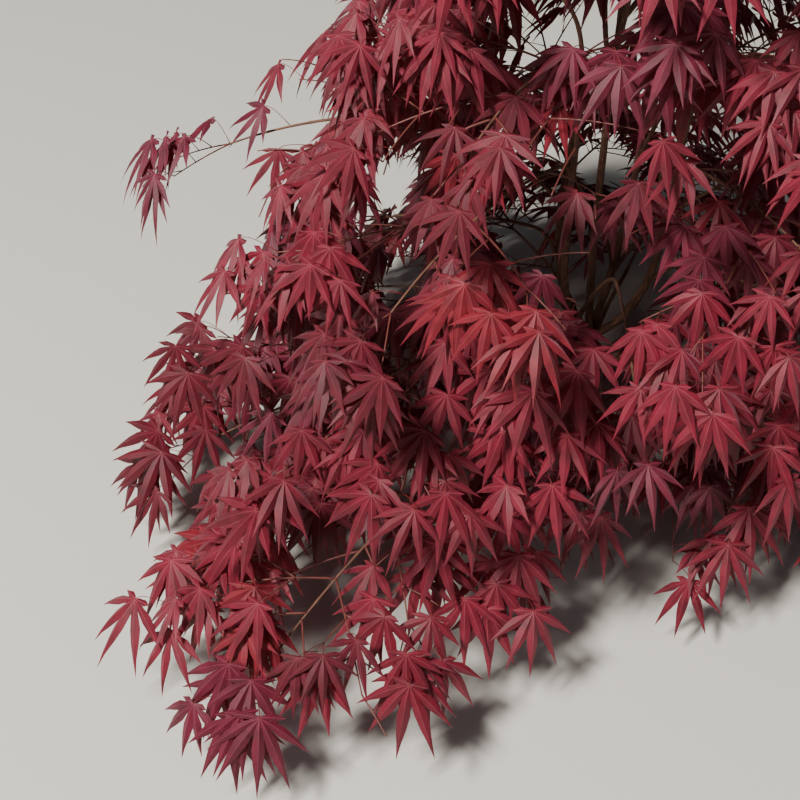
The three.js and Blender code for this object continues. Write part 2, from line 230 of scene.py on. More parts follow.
def bark_relief(around, along, girth, seed):
    """How far bark stands out, from 0 to 1: long grooves, where a noise stretched along the stem is near
    its middle, and a finer grain over them."""
    columns = max(6, round(girth / GROOVE_WIDTH))
    grooves = np.abs(2 * woven_noise(around, along / GROOVE_LENGTH, columns, seed) - 1)
    grain = woven_noise(around, along / GRAIN_LENGTH, 2 * columns, seed + 1)
    return (1 - GRAIN_SHARE) * np.clip(grooves * GROOVE_STEEPNESS, 0, 1) + GRAIN_SHARE * grain


def trunk_radius(shares, around):
    """The trunk's radius at shares of its height and of a turn: an even taper, widened by a flare that
    dies away with height and swells over each root, and the bark's relief. At the top the radius falls
    along a quarter circle to about a third."""
    along = shares * TRUNK_TOP[2]
    flare = FLARE_SHARE * np.exp(-along / FLARE_HEIGHT)
    flare = flare * (1 - ROOT_SHARE + ROOT_SHARE * np.cos(FLARE_ROOTS * math.tau * around))
    radii = part_way(TRUNK_FOOT_RADIUS, TRUNK_FORK_RADIUS, shares) * (1 + flare)
    girth = math.tau * TRUNK_FOOT_RADIUS
    relief = bark_relief(*np.broadcast_arrays(around, along), girth, TRUNK_BARK_SEED)
    radii = radii + RELIEF_DEPTH * (relief - RELIEF_MIDDLE)
    below_top = np.clip((1 - shares) / TRUNK_CLOSING_HEIGHT, 0, 1)
    return radii * np.sqrt(1 - (1 - below_top) ** 2 * TRUNK_CLOSING)


def add_node(tree, kind, inputs=None, **settings):
    """A shader node with its settings. Each input gets a value, or a link if it is given a socket."""
    made = tree.nodes.new(kind)
    for name, value in settings.items():
        setattr(made, name, value)
    for name, value in (inputs or {}).items():
        if isinstance(value, bpy.types.NodeSocket):
            tree.links.new(value, made.inputs[name])
        else:
            made.inputs[name].default_value = value
    return made


def maths(tree, operation, first, second=0.0):
    """The result of a Math node on two values or sockets."""
    return add_node(tree, "ShaderNodeMath", {0: first, 1: second}, operation=operation).outputs[0]


def ranged(tree, value, start, end, low=0.0, high=1.0, **settings):
    """A value that runs from low to high while the given one runs from start to end."""
    inputs = {0: value, 1: start, 2: end, 3: low, 4: high}
    return add_node(tree, "ShaderNodeMapRange", inputs, **settings).outputs[0]


def noise(tree, place, scale, detail, roughness=0.5):
    """The value of a noise at a place."""
    inputs = {"Vector": place, "Scale": scale, "Detail": detail, "Roughness": roughness}
    return add_node(tree, "ShaderNodeTexNoise", inputs).outputs["Fac"]


def blend(tree, share, first, second):
    """The colour at a share of the way from the first to the second. On a Mix node, inputs 6 and 7 and
    output 2 are its colours."""
    inputs = {0: share, 6: first, 7: second}
    return add_node(tree, "ShaderNodeMix", inputs, data_type="RGBA").outputs[2]


def set_bump(tree, surface, height, distance, strength):
    """Roughens a surface by a height."""
    inputs = {"Height": height, "Distance": distance, "Strength": strength}
    tree.links.new(add_node(tree, "ShaderNodeBump", inputs).outputs[0], surface.inputs["Normal"])


def colour(red, green, blue):
    """A colour as Blender reads it, from screen values of 0 to 255."""
    values = np.array([red, green, blue]) / 255
    linear = np.where(values < 0.04045, values / 12.92, ((values + 0.055) / 1.055) ** 2.4)
    return (*linear, 1)


def new_material(name, values):
    """A material, its node tree and its surface shader, whose inputs get these values."""
    material = bpy.data.materials.new(name)
    material.use_nodes = True
    surface = material.node_tree.nodes["Principled BSDF"]
    for socket, value in values.items():
        surface.inputs[socket].default_value = value
    return material, material.node_tree, surface


def put_out(group, sockets):
    """Gives a node group its outputs, each a name and what comes out there."""
    for name in sockets:
        group.interface.new_socket(name, in_out="OUTPUT", socket_type="NodeSocketFloat")
    out = group.nodes.new("NodeGroupOutput")
    for name, socket in sockets.items():
        group.links.new(socket, out.inputs[name])


def bark_grain():
    """A group that reads a stem's unrolled bark. Its streaks are a stretched noise, its breathing pores
    the middles of stretched cells, and its height is the streaks with the pores raised."""
    group = bpy.data.node_groups.new("bark_grain", "ShaderNodeTree")
    for name in ("Streak length", "Streak width"):
        group.interface.new_socket(name, in_out="INPUT", socket_type="NodeSocketFloat")
    given = group.nodes.new("NodeGroupInput")
    spot = add_node(group, "ShaderNodeUVMap", uv_map="bark")
    parts = add_node(group, "ShaderNodeSeparateXYZ", {0: spot.outputs[0]})
    around = maths(group, "DIVIDE", parts.outputs[0], given.outputs["Streak width"])
    along = maths(group, "DIVIDE", parts.outputs[1], given.outputs["Streak length"])
    stretched = add_node(group, "ShaderNodeCombineXYZ", {0: around, 1: along}).outputs[0]
    streaks = noise(group, stretched, 1.0, 5.0, 0.6)
    cells = add_node(group, "ShaderNodeTexVoronoi", {"Vector": stretched, "Scale": PORE_SCALE})
    middle = cells.outputs["Distance"]
    pores = ranged(group, middle, *PORE_RANGE, 1.0, 0.0, interpolation_type="SMOOTHSTEP")
    height = maths(group, "ADD", streaks, maths(group, "MULTIPLY", pores, PORE_HEIGHT))
    put_out(group, {"Streaks": streaks, "Pores": pores, "Height": height})
    return group


BARK_GRAIN = bark_grain()


def bark_material(name, dark, light, pore, streak, roughness, relief):
    """Bark whose colour runs from dark to light along its streaks, darker in soft patches, with pale
    pores and a fine relief. `streak` is a streak's length and width."""
    gloss = {"Roughness": roughness, "Specular IOR Level": BARK_SHINE}
    material, tree, surface = new_material(name, gloss)
    size = {"Streak length": streak[0], "Streak width": streak[1]}
    grain = add_node(tree, "ShaderNodeGroup", size, node_tree=BARK_GRAIN)
    place = add_node(tree, "ShaderNodeTexCoord").outputs["Object"]
    plain = blend(tree, ranged(tree, grain.outputs["Streaks"], *STREAK_RANGE), dark, light)
    patches = maths(tree, "MULTIPLY", noise(tree, place, PATCH_SCALE, 2.0), PATCH_SHADE)
    shaded = blend(tree, patches, plain, dark)
    pores = maths(tree, "MULTIPLY", grain.outputs["Pores"], PORE_SHARE)
    tree.links.new(blend(tree, pores, shaded, pore), surface.inputs["Base Color"])
    set_bump(tree, surface, grain.outputs["Height"], relief, BARK_BUMP)
    return material


BARK = bark_material(
    "bark", colour(62, 40, 33), colour(126, 88, 68), colour(166, 130, 102),
    (0.016, 0.0016), 0.72, 0.0006,
)

trunk_marks = [np.zeros(3), np.array([0, 0, TRUNK_BEND_HEIGHT * TRUNK_TOP[2]]), TRUNK_TOP]
trunk_line = evened(bezier(trunk_marks, np.linspace(0, 1, TRUNK_SAMPLES)), TRUNK_ROWS)
trunk_radii = trunk_radius(
    np.linspace(0, 1, TRUNK_ROWS)[:, None], np.arange(TRUNK_SIDES)[None, :] / TRUNK_SIDES
)
trunk_points = swept(trunk_line, trunk_radii, TRUNK_SIDES, np.array([1.0, 0, 0]))
trunk_points[..., 2] = np.maximum(trunk_points[..., 2], 0)
trunk = lay_tubes("trunk_bark", trunk_points[None], trunk_line[None], trunk_radii[None], BARK)
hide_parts("trunk")


# Boughs and main stems
# Tapering limbs that leave the trunk and the main stems in tiers, one for each mass of foliage. Young
# wood with ringed scars where last year's buds sat, running on into the stem of its mass.

# How far the crown's high and low foliage reach at each twelfth of a turn, from +X towards +Y.
HIGH_REACH = np.array([470, 470, 450, 420, 370, 305, 325, 430, 480, 480, 470, 470]) / 1000
LOW_REACH = np.array([500, 500, 470, 450, 380, 330, 450, 575, 685, 330, 360, 430]) / 1000
LIGHT_AZIMUTH = 250
CROWDING = 16

# Tiers, from the ground up. A tier has `count` limbs, spread round the trunk from about the azimuth
# `first`, and each mass has `pairs` of side twigs. A limb leaves its `parent` at about the share `at`.
# `share` is of the crown's reach, and `lean` is how far the tier follows the low foliage's reach. The
# foliage has the outer `spray` of that reach. A limb sets off `start` degrees steeper than its chord and
# ends at `height`. The stem of its mass slopes by `rise` degrees at its foot and `fall` at its tip.
TIERS = [
    dict(name="low", count=9, first=227, pairs=3, parent="trunk", at=0.45,
         share=1, lean=1, spray=0.72, start=14, height=0.156, rise=8, fall=-18),
    dict(name="second", count=6, first=218, pairs=2, parent="main", at=0.15,
         share=1, lean=0.5, spray=0.72, start=14, height=0.280, rise=14, fall=-22),
    dict(name="middle", count=4, first=226, pairs=2, parent="main", at=0.4,
         share=0.94, lean=0.2, spray=0.72, start=14, height=0.424, rise=18, fall=-22),
    dict(name="arm", count=1, first=169, pairs=1, parent="main", at=0.5,
         share=1.48, lean=0, spray=0.4, start=14, height=0.440, rise=2, fall=-20),
    dict(name="main", count=4, first=236, pairs=2, parent="trunk", at=0.97,
         share=0.9, lean=0, spray=0.6, start=-34, height=0.560, rise=30, fall=-20),
    dict(name="upper", count=4, first=183, pairs=2, parent="leader", at=0.58,
         share=0.72, lean=0, spray=0.72, start=-12, height=0.712, rise=40, fall=-12),
    dict(name="leader", count=1, first=250, pairs=2, parent="trunk", at=0.97,
         share=0.46, lean=0, spray=0.72, start=-10, height=0.850, rise=72, fall=22),
]
BOUGH_FOOT_RADIUS = 0.0036
BRANCH_FOOT_RADIUS = 0.0029
BRANCH_SHARE_OF_PARENT = 0.86
STEM_FOOT_RADIUS = 0.005
LIMB_TIP_RADIUS = 0.0021
STEM_TIP_RADIUS = 0.0009
STEM_TAPER = 0.8
HIGHEST_FOOT = 0.97
FEET_SPREAD = 0.16
START_HANDLE = 0.36
END_HANDLE = 0.24
START_JITTER = 14
HEIGHT_JITTER = 0.014
LEAF_REACH = 0.085
SPRAY_LENGTH = 0.32
TWIG_LENGTH = 0.15
TWIG_ROOM = 0.6
FIRST_SEED = 17
SEED_STEP = 31
GROWTH_SEED = 5
LIMB_SAMPLES = 300
BOUGH_ROWS = 100
LIMB_ROWS = 90
LIMB_SIDES = 12
LIMB_BARK_SEED = 11
LIMB_RELIEF = 0.1
COLLAR_SHARE = 0.55
COLLAR_LENGTH = 1.6
FIRST_SCAR = 0.02
SCAR_SPACING = 0.034
SCAR_JITTER = 0.008
SCAR_WIDTH = 0.0016
SCAR_SHARE = 0.13


def heading(azimuth, slope):
    """The unit vector of an azimuth and a slope, in degrees."""
    turn, lift = np.broadcast_arrays(np.radians(azimuth), np.radians(slope))
    return np.stack([np.cos(turn) * np.cos(lift), np.sin(turn) * np.cos(lift), np.sin(lift)], axis=-1)


def turn_between(start, end):
    """The difference of two azimuths, between -180 and 180 degrees."""
    return (end - start + 180) % 360 - 180


def seeded(seed):
    """The source's row of numbers from 0 to 1: each state is the last times 1664525, plus 1013904223,
    in 32 bits."""
    state = seed
    while True:
        state = (state * 1664525 + 1013904223) % 2**32
        yield state / 2**32


def jitter(numbers, spread):
    """A number between -spread and spread."""
    return (2 * next(numbers) - 1) * spread


def reach_of(tier, azimuth):
    """How far a tier reaches, with both reaches eased between their twelve directions."""
    place = azimuth % 360 / 30
    before = int(place)
    ease = eased(place - before)
    high, low = (reach[before % 12] * (1 - ease) + reach[(before + 1) % 12] * ease
                 for reach in (HIGH_REACH, LOW_REACH))
    return tier["share"] * part_way(high, low, tier["lean"])


def arching_line(start, azimuth, slopes, length, rows=25):
    """A line of equal steps whose slope runs evenly from the first to the last of two, in degrees."""
    shares = (np.arange(rows - 1) + 0.5) / (rows - 1)
    steps = heading(azimuth + 0 * shares, part_way(*slopes, shares)) * length / (rows - 1)
    return start + np.concatenate([np.zeros((1, 3)), np.cumsum(steps, axis=0)])


def point_at(line, share):
    """The point at a share of a line of equal steps."""
    place = min(max(share, 0), 1) * (len(line) - 1)
    before = min(int(place), len(line) - 2)
    return part_way(line[before], line[before + 1], place - before)


def limb_foot(tier, index, azimuth, limbs):
    """Where a limb starts, and its radius there. It leaves the trunk, or the nearest of its parents."""
    if tier["parent"] == "trunk":
        foot = point_at(trunk_line, tier["at"] + (HIGHEST_FOOT - tier["at"]) * index / tier["count"])
        return foot, BOUGH_FOOT_RADIUS if tier["name"] == "low" else STEM_FOOT_RADIUS
    stems = [limb for limb in limbs if limb.tier["name"] == tier["parent"]]
    parent = min(stems, key=lambda stem: abs(turn_between(stem.azimuth, azimuth)))
    share = tier["at"] + FEET_SPREAD * (index / tier["count"] - 0.5)
    parent_radius = part_way(parent.foot_radius, LIMB_TIP_RADIUS, share)
    radius = min(BRANCH_FOOT_RADIUS, BRANCH_SHARE_OF_PARENT * parent_radius)
    return point_at(parent.bough, share), radius


def make_limb(tier, index, limbs):
    """A bough or main stem by the source's rule, with the stem of its mass as the rest of one line."""
    numbers = seeded(FIRST_SEED + SEED_STEP * len(limbs))
    even = tier["first"] + 360 * index / tier["count"]
    azimuth = even - CROWDING * math.sin(math.radians(even - LIGHT_AZIMUTH))
    reach = reach_of(tier, azimuth)
    inside = reach - LEAF_REACH
    level = math.cos(math.radians((tier["rise"] + tier["fall"]) / 2))
    spray = min(SPRAY_LENGTH, tier["spray"] * inside / level)
    tip = heading(azimuth, 0) * (inside - spray * level)
    tip[2] = tier["height"] + jitter(numbers, HEIGHT_JITTER)
    foot, foot_radius = limb_foot(tier, index, azimuth, limbs)
    chord = tip - foot
    far = np.linalg.norm(chord)
    climb = math.degrees(math.asin(chord[2] / far))
    start = heading(azimuth + jitter(numbers, START_JITTER), climb + tier["start"])
    end = heading(azimuth, tier["rise"])
    marks = [foot, foot + start * far * START_HANDLE, tip - end * far * END_HANDLE, tip]
    return SimpleNamespace(
        name=f"{tier['name']}_{index + 1}",
        tier=tier,
        azimuth=azimuth,
        numbers=numbers,
        bough=evened(bezier(marks, np.linspace(0, 1, LIMB_SAMPLES)), BOUGH_ROWS),
        foot_radius=foot_radius,
        stem=arching_line(tip, azimuth, (tier["rise"], tier["fall"]), spray),
        spray=spray,
        twig_length=min(TWIG_LENGTH, TWIG_ROOM * math.pi * reach / tier["count"]),
    )


def make_limbs():
    """Every limb. What leaves the trunk comes before what leaves a stem."""
    limbs = []
    for tier in sorted(TIERS, key=lambda each: each["parent"] != "trunk"):
        for index in range(tier["count"]):
            limbs.append(make_limb(tier, index, limbs))
    return limbs


def limb_radii(limb, line, draws):
    """A limb's radius at each row and side: even taper, a collar where it leaves its parent, a ring at
    each bud scar, and the bark's relief."""
    length = np.linalg.norm(np.diff(line, axis=0), axis=1).sum()
    along = np.linspace(0, length, len(line))
    bough_share = np.clip(along / (length - limb.spray), 0, 1)
    stem_share = np.clip((along - length + limb.spray) / limb.spray, 0, 1)
    radii = part_way(limb.foot_radius, LIMB_TIP_RADIUS, bough_share)
    radii = radii + (STEM_TIP_RADIUS - LIMB_TIP_RADIUS) * stem_share**STEM_TAPER
    radii = radii * (1 + COLLAR_SHARE * np.exp(-along / (COLLAR_LENGTH * limb.foot_radius)))
    scars = np.arange(FIRST_SCAR, length, SCAR_SPACING)
    scars = scars + draws.uniform(-SCAR_JITTER, SCAR_JITTER, len(scars))
    rings = np.exp(-(((along[:, None] - scars) / SCAR_WIDTH) ** 2)).sum(axis=1)
    radii = radii * (1 + SCAR_SHARE * rings)
    around = np.arange(LIMB_SIDES)[None, :] / LIMB_SIDES
    girth = math.tau * limb.foot_radius
    relief = bark_relief(*np.broadcast_arrays(around, along[:, None]), girth, LIMB_BARK_SEED)
    return radii[:, None] * (1 + LIMB_RELIEF * (relief - RELIEF_MIDDLE))


limbs = make_limbs()
growth = np.random.default_rng(GROWTH_SEED)
limb_lines = np.stack([
    evened(np.concatenate([limb.bough, limb.stem[1:]]), LIMB_ROWS) for limb in limbs
])
all_radii = np.stack([limb_radii(limb, line, growth) for limb, line in zip(limbs, limb_lines)])
limb_sideways = heading(np.array([limb.azimuth + 90 for limb in limbs]), 0)[:, None, :]
limb_points = swept(limb_lines, all_radii, LIMB_SIDES, limb_sideways)
boughs = lay_tubes("boughs_bark", limb_points, limb_lines, all_radii, BARK)
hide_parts(*[f"{limb.name}_bough" for limb in limbs])


# Twigs and shoots
# Side twigs in opposite pairs by the source's rule, then finer shoots in pairs on them and between them,
# and a few round the leader's neck. Every stem and side twig ends in a fork. Smooth dark red-brown wood.

# Side twigs, as the source has them. Angles and slopes are in degrees.
FIRST_TWIG = 0.12
TWIG_SPACING = 0.86
TWIG_ANGLE = 50
TWIG_ANGLE_JITTER = 10
TWIG_SLOPE_JITTER = 16
TWIG_LENGTH_JITTER = 0.15
TWIG_ARCH = (8, -14)
SWELL_START = 0.25
SWELL_RUN = 0.6
TWIG_ROWS = 14
TWIG_SIDES = 6

# Finer shoots, as shares of what they grow on. A span holds the ends of a random draw.
SHOOT_SHARE = dict(low=0.46, second=0.5, middle=0.66, arm=0.4, main=0.66, upper=0.46, leader=0.46)
STEM_SHOOT_SHARE = 0.3
SHOOT_AT_FOOT = 1.15
SHOOT_SHRINKING = 0.5
SHOOT_PLACES = (0.36, 0.68)
SHOOT_PLACE_SPAN = (-0.03, 0.03)
SHOOT_ANGLE = 48
SHOOT_ANGLE_SPAN = (-12, 12)
SHOOT_SLOPE_SPAN = (-12, 18)
SHOOT_LENGTH_SPAN = (0.8, 1.15)
SHOOT_ARCH = (8, -12)
SHORTEST_SHOOT = 0.03

# The forks at the ends, and the shoots round the leader's neck: how far up it, and turned how far.
FORK_ANGLE = 21
FORK_ANGLE_SPAN = (-8, 8)
FORK_SLOPE_SPAN = (-4, 12)
FORK_LENGTH = 0.06
FORK_LENGTH_SPAN = (0.75, 1.2)
FORK_FALL = 12
NECK_SHOOTS = ((0.66, 30), (0.76, 150), (0.86, 270), (0.95, 60))
NECK_LENGTH = 0.3
NECK_SLOPE = 34
NECK_SHOOT_SHARE = 0.36

# Shafts through the crown that stay free of leaves and shoots: each starts at a point, ends at another
# and has a radius. The first two lie in front of the fork and over it, three lead through the middle of
# the crown, four through its left shoulder, and three cross the low foliage.
OPENINGS = [(np.array(start), np.array(end), radius) for start, end, radius in (
    ((0.0, -0.06, 0.22), (-0.05, -0.45, 0.56), 0.03),
    ((0.05, 0.45, 0.06), (-0.10, -0.59, 0.76), 0.02),
    ((-0.06, 0.36, 0.0), (-0.15, -0.58, 0.70), 0.015),
    ((-0.23, 0.26, 0.0), (-0.23, -0.55, 0.64), 0.018),
    ((-0.24, 0.45, 0.03), (-0.23, -0.56, 0.73), 0.015),
    ((-0.44, 0.44, 0.24), (-0.33, -0.52, 0.80), 0.03),
    ((-0.37, 0.45, 0.28), (-0.30, -0.54, 0.83), 0.026),
    ((-0.48, 0.40, 0.06), (-0.36, -0.50, 0.68), 0.026),
    ((-0.38, 0.45, 0.13), (-0.30, -0.54, 0.76), 0.022),
    ((0.05, -0.23, 0.0), (-0.04, -0.62, 0.42), 0.022),
    ((-0.03, -0.29, 0.0), (-0.09, -0.62, 0.36), 0.022),
    ((-0.26, -0.50, 0.0), (-0.26, -0.60, 0.12), 0.025),
)]

# Radii at the foot and the tip, for side twigs and for what grows on them.
TWIG_RADII = {1: (0.0013, 0.0008), 2: (0.00095, 0.0006)}


def twig_place(pair, pairs):
    """The share of a mass's stem at which a pair of side twigs sits. Half numbers lie between pairs."""
    return FIRST_TWIG + TWIG_SPACING * pair / pairs


def source_twigs(limb):
    """The side twigs that the source grows on a mass's stem, with the same draws. Their length swells
    and falls along the stem as a sine does."""
    twigs = []
    tier, numbers = limb.tier, limb.numbers
    for twig in range(2 * tier["pairs"]):
        side = -1 if twig % 2 == 0 else 1
        share = twig_place(twig // 2, tier["pairs"])
        slope = part_way(tier["rise"], tier["fall"], share) + jitter(numbers, TWIG_SLOPE_JITTER)
        azimuth = limb.azimuth + side * (TWIG_ANGLE + jitter(numbers, TWIG_ANGLE_JITTER))
        swell = math.sin(math.pi * (SWELL_START + SWELL_RUN * share))
        length = limb.twig_length * swell * (1 + jitter(numbers, TWIG_LENGTH_JITTER))
        slopes = tuple(slope + bend for bend in TWIG_ARCH)
        twigs.append(make_twig(point_at(limb.stem, share), azimuth, slopes, length, 1))
    return twigs


def make_twig(start, azimuth, slopes, length, order):
    """A twig: its line and what is needed to grow more on it. Its order is 1 on a stem, 2 on a twig."""
    line = arching_line(start, azimuth, slopes, length, TWIG_ROWS)
    return SimpleNamespace(line=line, azimuth=azimuth, slopes=slopes, length=length, order=order)


def is_open(points):
    """Whether any point lies in one of the crown's openings, each a round shaft about a line."""
    for start, end, radius in OPENINGS:
        line = end - start
        share = np.clip((points - start) @ line / (line @ line), 0, 1)
        if (np.linalg.norm(points - start - share[:, None] * line, axis=1) < radius).any():
            return True
    return False


def finer_shoots(parent, places, share, draws):
    """A pair of shoots at each place on a twig, as long as a share of it and shorter towards its tip."""
    shoots = []
    for place in places:
        for side in (-1, 1):
            azimuth = parent.azimuth + side * (SHOOT_ANGLE + draws.uniform(*SHOOT_ANGLE_SPAN))
            slope = part_way(*parent.slopes, place) + draws.uniform(*SHOOT_SLOPE_SPAN)
            length = share * parent.length * (SHOOT_AT_FOOT - SHOOT_SHRINKING * place)
            length = length * draws.uniform(*SHOOT_LENGTH_SPAN)
            if length > SHORTEST_SHOOT:
                start = point_at(parent.line, place + draws.uniform(*SHOOT_PLACE_SPAN))
                slopes = tuple(slope + bend for bend in SHOOT_ARCH)
                shoots.append(make_twig(start, azimuth, slopes, length, parent.order + 1))
    return shoots


def end_fork(parent, draws):
    """The two shoots that a twig ends in, which run on nearly as it does."""
    shoots = []
    for side in (-1, 1):
        azimuth = parent.azimuth + side * (FORK_ANGLE + draws.uniform(*FORK_ANGLE_SPAN))
        slope = parent.slopes[1] + draws.uniform(*FORK_SLOPE_SPAN)
        length = FORK_LENGTH * draws.uniform(*FORK_LENGTH_SPAN)
        shoots.append(make_twig(parent.line[-1], azimuth, (slope, slope - FORK_FALL), length, 2))
    return shoots


def grow_sprays(limb, draws):
    """A limb's sprays, each a list of twigs that bear leaves of one tint: the stem and its fork, each
    shoot between its side twigs, each side twig with its shoots and fork, and the leader's neck. What
    would cross an opening is left out, but the stem stays."""
    tier = limb.tier
    stem = SimpleNamespace(
        line=limb.stem, azimuth=limb.azimuth, slopes=(tier["rise"], tier["fall"]),
        length=limb.spray, order=0,
    )
    between = [twig_place(pair + 0.5, tier["pairs"]) for pair in range(tier["pairs"])]
    stem_shoots = finer_shoots(stem, between, STEM_SHOOT_SHARE, draws)
    sprays = [[stem, *end_fork(stem, draws)]] + [[shoot] for shoot in stem_shoots]
    for twig in source_twigs(limb):
        fine = finer_shoots(twig, SHOOT_PLACES, SHOOT_SHARE[tier["name"]], draws)
        sprays.append([twig, *fine, *end_fork(twig, draws)])
    for place, turn in NECK_SHOOTS if tier["name"] == "leader" else ():
        neck = SimpleNamespace(
            line=limb.bough, azimuth=limb.azimuth + turn, slopes=(NECK_SLOPE, NECK_SLOPE),
            length=NECK_LENGTH, order=0,
        )
        sprays.append(finer_shoots(neck, [place], NECK_SHOOT_SHARE, draws))
    return [[twig for twig in spray if twig is stem or not is_open(twig.line)] for spray in sprays]


for limb in limbs:
    limb.sprays = grow_sprays(limb, growth)

twigs = [twig for limb in limbs for spray in limb.sprays for twig in spray if twig.order > 0]
twig_lines = np.stack([twig.line for twig in twigs])
twig_shares = np.linspace(0, 1, TWIG_ROWS)
twig_radii = np.stack([part_way(*TWIG_RADII[twig.order], twig_shares) for twig in twigs])
twig_radii = twig_radii[:, :, None] * np.ones(TWIG_SIDES)
twig_sideways = heading(np.array([twig.azimuth + 90 for twig in twigs]), 0)[:, None, :]
twig_points = swept(twig_lines, twig_radii, TWIG_SIDES, twig_sideways)
YOUNG_BARK = bark_material(
    "young_bark", colour(70, 32, 30), colour(116, 60, 52), colour(150, 100, 80),
    (0.008, 0.0008), 0.5, 0.0002,
)
twig_mesh = lay_tubes("twigs", twig_points, twig_lines, twig_radii, YOUNG_BARK)


# Leaves
# Thin palmate blades of seven long pointed lobes, folded to a ridge along each midrib and a valley down
# to each notch, hanging from slender stalks. They sit in pairs along twigs and shoots.

# A blade's plan from one side to the other, in degrees and shares of its length. The stations are
# shares of a lobe's free length, each with the lobe's half width there.
LEAF_LENGTH = 0.061
LOBES = 7
MIDDLE_LOBE = 3
LOBE_ANGLES = np.array([-100.0, -67, -34, 0, 34, 67, 100])
LOBE_LENGTHS = np.array([0.42, 0.8, 0.96, 1, 0.96, 0.8, 0.42])
NOTCH_ANGLES = np.array([-142.0, -84, -51, -17, 17, 51, 84, 142])
NOTCH_DEPTHS = np.array([0.05, 0.12, 0.2, 0.225, 0.225, 0.2, 0.12, 0.05])
RIB_STARTS = np.array([0.12, 0.18, 0.21, 0.22, 0.21, 0.18, 0.12])
HALF_BASE = 0.32
LONG_STATIONS = ((0.27, 0.106), (0.5, 0.084), (0.74, 0.038))
SHORT_STATIONS = ((0.42, 0.12),)
SHORTEST_LONG_LOBE = 0.5
NARROWING = 0.8

# How blades fold, droop and differ.
PLEAT = 0.62
LOBE_DROOP = 0.22
HANG = 0.3
LENGTH_VARIES = 0.07
ANGLE_VARIES = 4
DROOP_VARIES = 0.12
WIDTH_VARIES = 0.12
PLEAT_VARIES = 0.35
FULL_LOBES_FROM = 0.2
SHORTENED = 0.7
TURNED_BY = 0.4

# How a leaf grows. Its stalk is part sprout, part facing and part lift.
LEAF_TRIES = 7
FACING_SPAN = (-32, 32)
NEAR_TURN = 0.35
SPROUT_ANGLE = 55
SPROUT_ANGLE_SPAN = (-28, 28)
SPROUT_SPAN = (0.4, 0.8)
FACING_PART = 0.5
LIFT = 0.45
LIFT_SPAN = (-0.5, 0.5)
STALK_LENGTH = 0.034
STALK_LENGTH_SPAN = (0.7, 1.2)
DROOP = 40
DROOP_SPAN = (-20, 16)
LOW_ROOT = 0.1
LOW_DROOP = 0.35
ROLL_SPAN = (-24, 24)
LEAF_LENGTH_SPAN = (0.84, 1.15)

# Where leaves grow, and their space.
LEAF_PLACES = {0: (0.3, 0.46, 0.62, 0.78, 0.92), 1: (0.3, 0.52, 0.76), 2: (0.45, 0.75, 1)}
ARM_PLACES = (0.08, 0.35, 0.6, 0.85, 1)
PAIR_STAGGER = 0.01
LEAF_CHANCE = dict(low=0.95, second=0.76, middle=0.8, arm=1, main=0.76, upper=0.72, leader=0.85)
LEAF_SCALE = dict(low=1, second=0.96, middle=0.93, arm=0.95, main=0.9, upper=0.86, leader=0.86)
OUTER_SHRINKING = 0.1
GROUND_CLEARANCE = 0.014
BOX_LOW, BOX_HIGH = np.array(cad_box[0]), np.array(cad_box[1])
BOX_MARGIN = 0.01
CELL = 0.08

# A leaf's upper side and its ribs, for each tint. Limbs that lead to the left bear the darker tints.
LEAF_TINTS = {
    "wine": ((108, 15, 38), (172, 86, 96)),
    "burgundy": ((99, 13, 34), (160, 76, 88)),
    "purple": ((89, 15, 38), (152, 76, 92)),
    "red": ((112, 15, 33), (174, 86, 90)),
    "rose": ((108, 18, 40), (172, 90, 98)),
    "dark": ((84, 11, 29), (146, 66, 78)),
}
LEFT_AZIMUTHS = (140, 225)
LEFT_TINTS = (1, 2, 5)
UP = np.array([0, 0, 1.0])


def blade_plan():
    """One leaf's points and faces. A point is its lobe, its angle off the middle line, its distance from
    the base, how far it lies off the midrib, and how far below the ridge. The notches count as one more
    lobe. A face is its corners, and each corner's place: along its lobe and off its midrib. A lobe runs
    from a triangle at the base through squares to its tip, the same on either side of the midrib."""
    points = [(MIDDLE_LOBE, 0, 0, 0, 0)]
    for angle, depth in zip(NOTCH_ANGLES, NOTCH_DEPTHS):
        points.append((LOBES, angle, depth, 0, HALF_BASE * depth))
    triangles, squares = [], []
    for lobe, (angle, length, start) in enumerate(zip(LOBE_ANGLES, LOBE_LENGTHS, RIB_STARTS)):
        stations = SHORT_STATIONS if length < SHORTEST_LONG_LOBE else LONG_STATIONS
        reaches = [start] + [start + (length - start) * share for share, _ in stations]
        halves = [HALF_BASE * start] + [half * length**NARROWING for _, half in stations]
        rib = len(points) + np.arange(len(reaches) + 1)
        points += [(lobe, angle, reach, 0, 0) for reach in (*reaches, length)]
        for way in (-1, 1):
            edge = [1 + lobe + (way > 0), *(len(points) + np.arange(len(stations)))]
            points += [
                (lobe, angle, reach, way * half, half) for reach, half in zip(reaches[1:], halves[1:])
            ]
            off = [way * half for half in halves]
            base = [(0, 0, 0), (rib[0], start, 0), (edge[0], start, off[0])]
            tip = [(rib[-2], reaches[-1], 0), (rib[-1], length, 0), (edge[-1], reaches[-1], off[-1])]
            triangles += [base[::way], tip[::way]]
            squares += [
                [(rib[k], reaches[k], 0), (rib[k + 1], reaches[k + 1], 0),
                 (edge[k + 1], reaches[k + 1], off[k + 1]), (edge[k], reaches[k], off[k])][::way]
                for k in range(len(stations))
            ]
    return np.array(points), np.array(triangles), np.array(squares)


BLADE, BLADE_TRIANGLES, BLADE_SQUARES = blade_plan()
BLADE_FACES = (BLADE_TRIANGLES, BLADE_SQUARES)
BLADE_CORNERS = [face.tolist() for group in BLADE_FACES for face in group[..., 0].astype(int)]
IN_NOTCH = BLADE[:, 0] == LOBES
ON_RIB = (BLADE[:, 3] == 0) & ~IN_NOTCH


